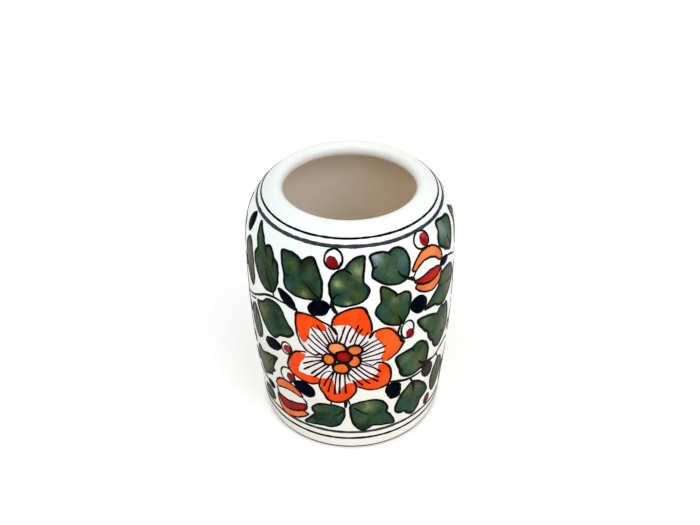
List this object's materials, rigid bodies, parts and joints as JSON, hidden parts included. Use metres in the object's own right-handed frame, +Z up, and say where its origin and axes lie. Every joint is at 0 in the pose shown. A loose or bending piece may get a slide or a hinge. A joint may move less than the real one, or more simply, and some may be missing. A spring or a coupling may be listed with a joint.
{
  "type": "toothbrush holder",
  "caption": "Open ceramic jar that holds toothbrushes upright, with a rolled lip, rounded shoulder, foot ring and a fired-on folk pattern of flowers and leaves.",
  "frame": {"origin": "centre of the foot ring, on the table plane", "axes": "+Z up the jar's axis; the big flower's side faces -Y and +X is to its right"},
  "size_m": [0.0884, 0.0884, 0.115],
  "materials": {
    "jar_body": "glossy white glaze",
    "rim_lines": "glossy fired enamel",
    "foot_lines": "glossy fired enamel",
    "leaves": "glossy fired enamel",
    "vine_stems": "glossy fired enamel",
    "berries": "glossy fired enamel",
    "flower_petals": "glossy fired enamel",
    "flower_rays": "glossy fired enamel",
    "flower_anthers": "glossy fired enamel",
    "flower_eyes": "glossy fired enamel",
    "tulip_petals": "glossy fired enamel",
    "tulip_throats": "glossy fired enamel",
    "bud_rings": "glossy fired enamel",
    "bud_hearts": "glossy fired enamel"
  },
  "bodies": {
    "root": {"jar_body": "jar_body", "rim_lines": "rim_lines", "foot_lines": "foot_lines", "leaves": "leaves", "vine_stems": "vine_stems", "berries": "berries", "flower_petals": "flower_petals", "flower_rays": "flower_rays", "flower_anthers": "flower_anthers", "flower_eyes": "flower_eyes", "tulip_petals": "tulip_petals", "tulip_throats": "tulip_throats", "bud_rings": "bud_rings", "bud_hearts": "bud_hearts"}
  },
  "joints": []
}
